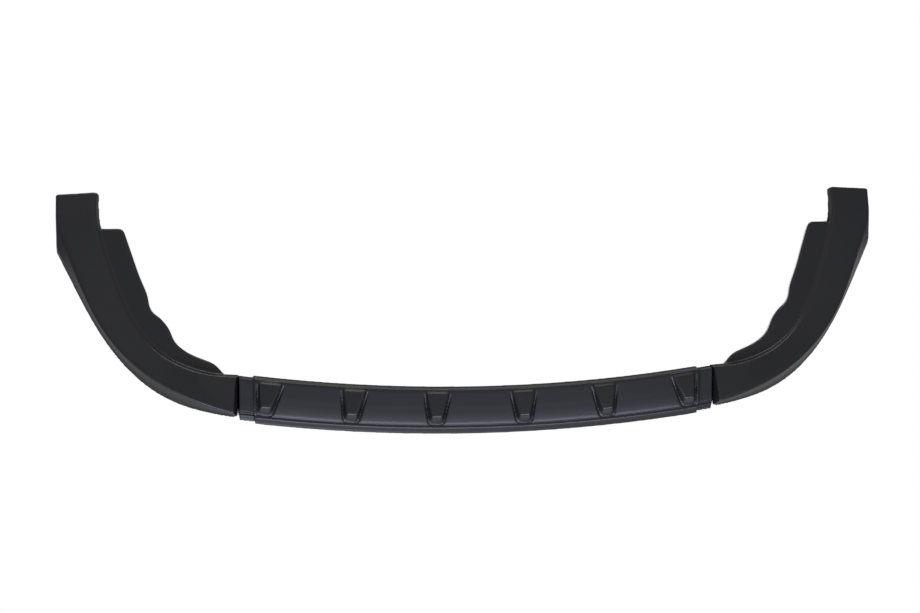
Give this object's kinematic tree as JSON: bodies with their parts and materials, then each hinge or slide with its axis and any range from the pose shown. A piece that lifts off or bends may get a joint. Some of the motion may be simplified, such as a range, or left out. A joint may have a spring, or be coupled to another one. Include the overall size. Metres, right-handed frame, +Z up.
{
  "type": "front splitter lip",
  "caption": "Front splitter lip for a car bumper: a curved centre section with raised teeth between two wings that wrap the corners, all thin mouldings open underneath.",
  "frame": {"origin": "middle of the lip's box, on the plane of its lower edges", "axes": "+X across the car towards the right wing, -Y towards the front of the car, +Z up"},
  "size_m": [1.7614, 0.5243, 0.036],
  "materials": {
    "moulded_plastic": "satin black, fine moulded grain"
  },
  "bodies": {
    "root": {"left_wing": "moulded_plastic", "centre_section": "moulded_plastic", "right_wing": "moulded_plastic"}
  },
  "joints": []
}
